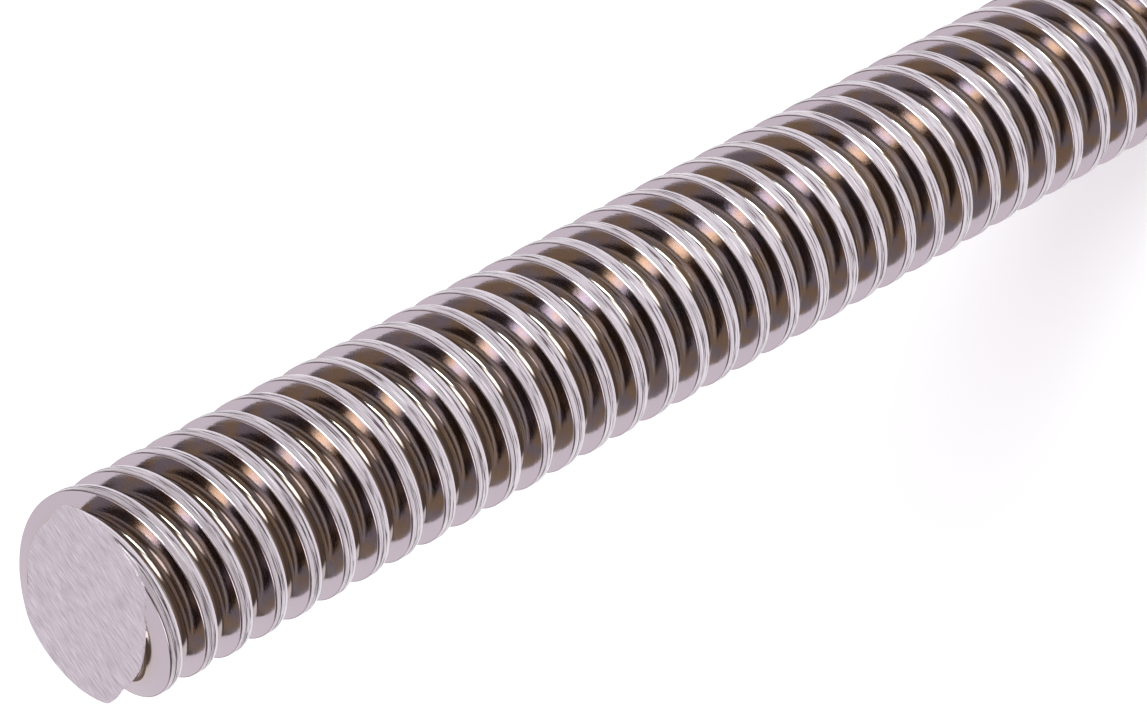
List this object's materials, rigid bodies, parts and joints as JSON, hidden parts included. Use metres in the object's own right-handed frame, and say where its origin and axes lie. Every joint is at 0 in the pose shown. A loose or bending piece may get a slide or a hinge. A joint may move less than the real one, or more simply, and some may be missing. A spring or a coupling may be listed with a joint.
{
  "type": "trapezoidal lead screw",
  "caption": "Straight length of rolled steel bar with a right-hand two-start trapezoidal thread running out through two plain sawn ends.",
  "frame": {"origin": "centre of the lower sawn face", "axes": "+Z along the bar's axis to the upper sawn face; a crest of one thread crosses +X at both sawn faces"},
  "size_m": [0.024, 0.024, 0.18],
  "materials": {
    "rolled_steel": "bare rolled steel, burnished flanks and sawn ends"
  },
  "bodies": {
    "root": {"lead_screw": "rolled_steel"}
  },
  "joints": []
}
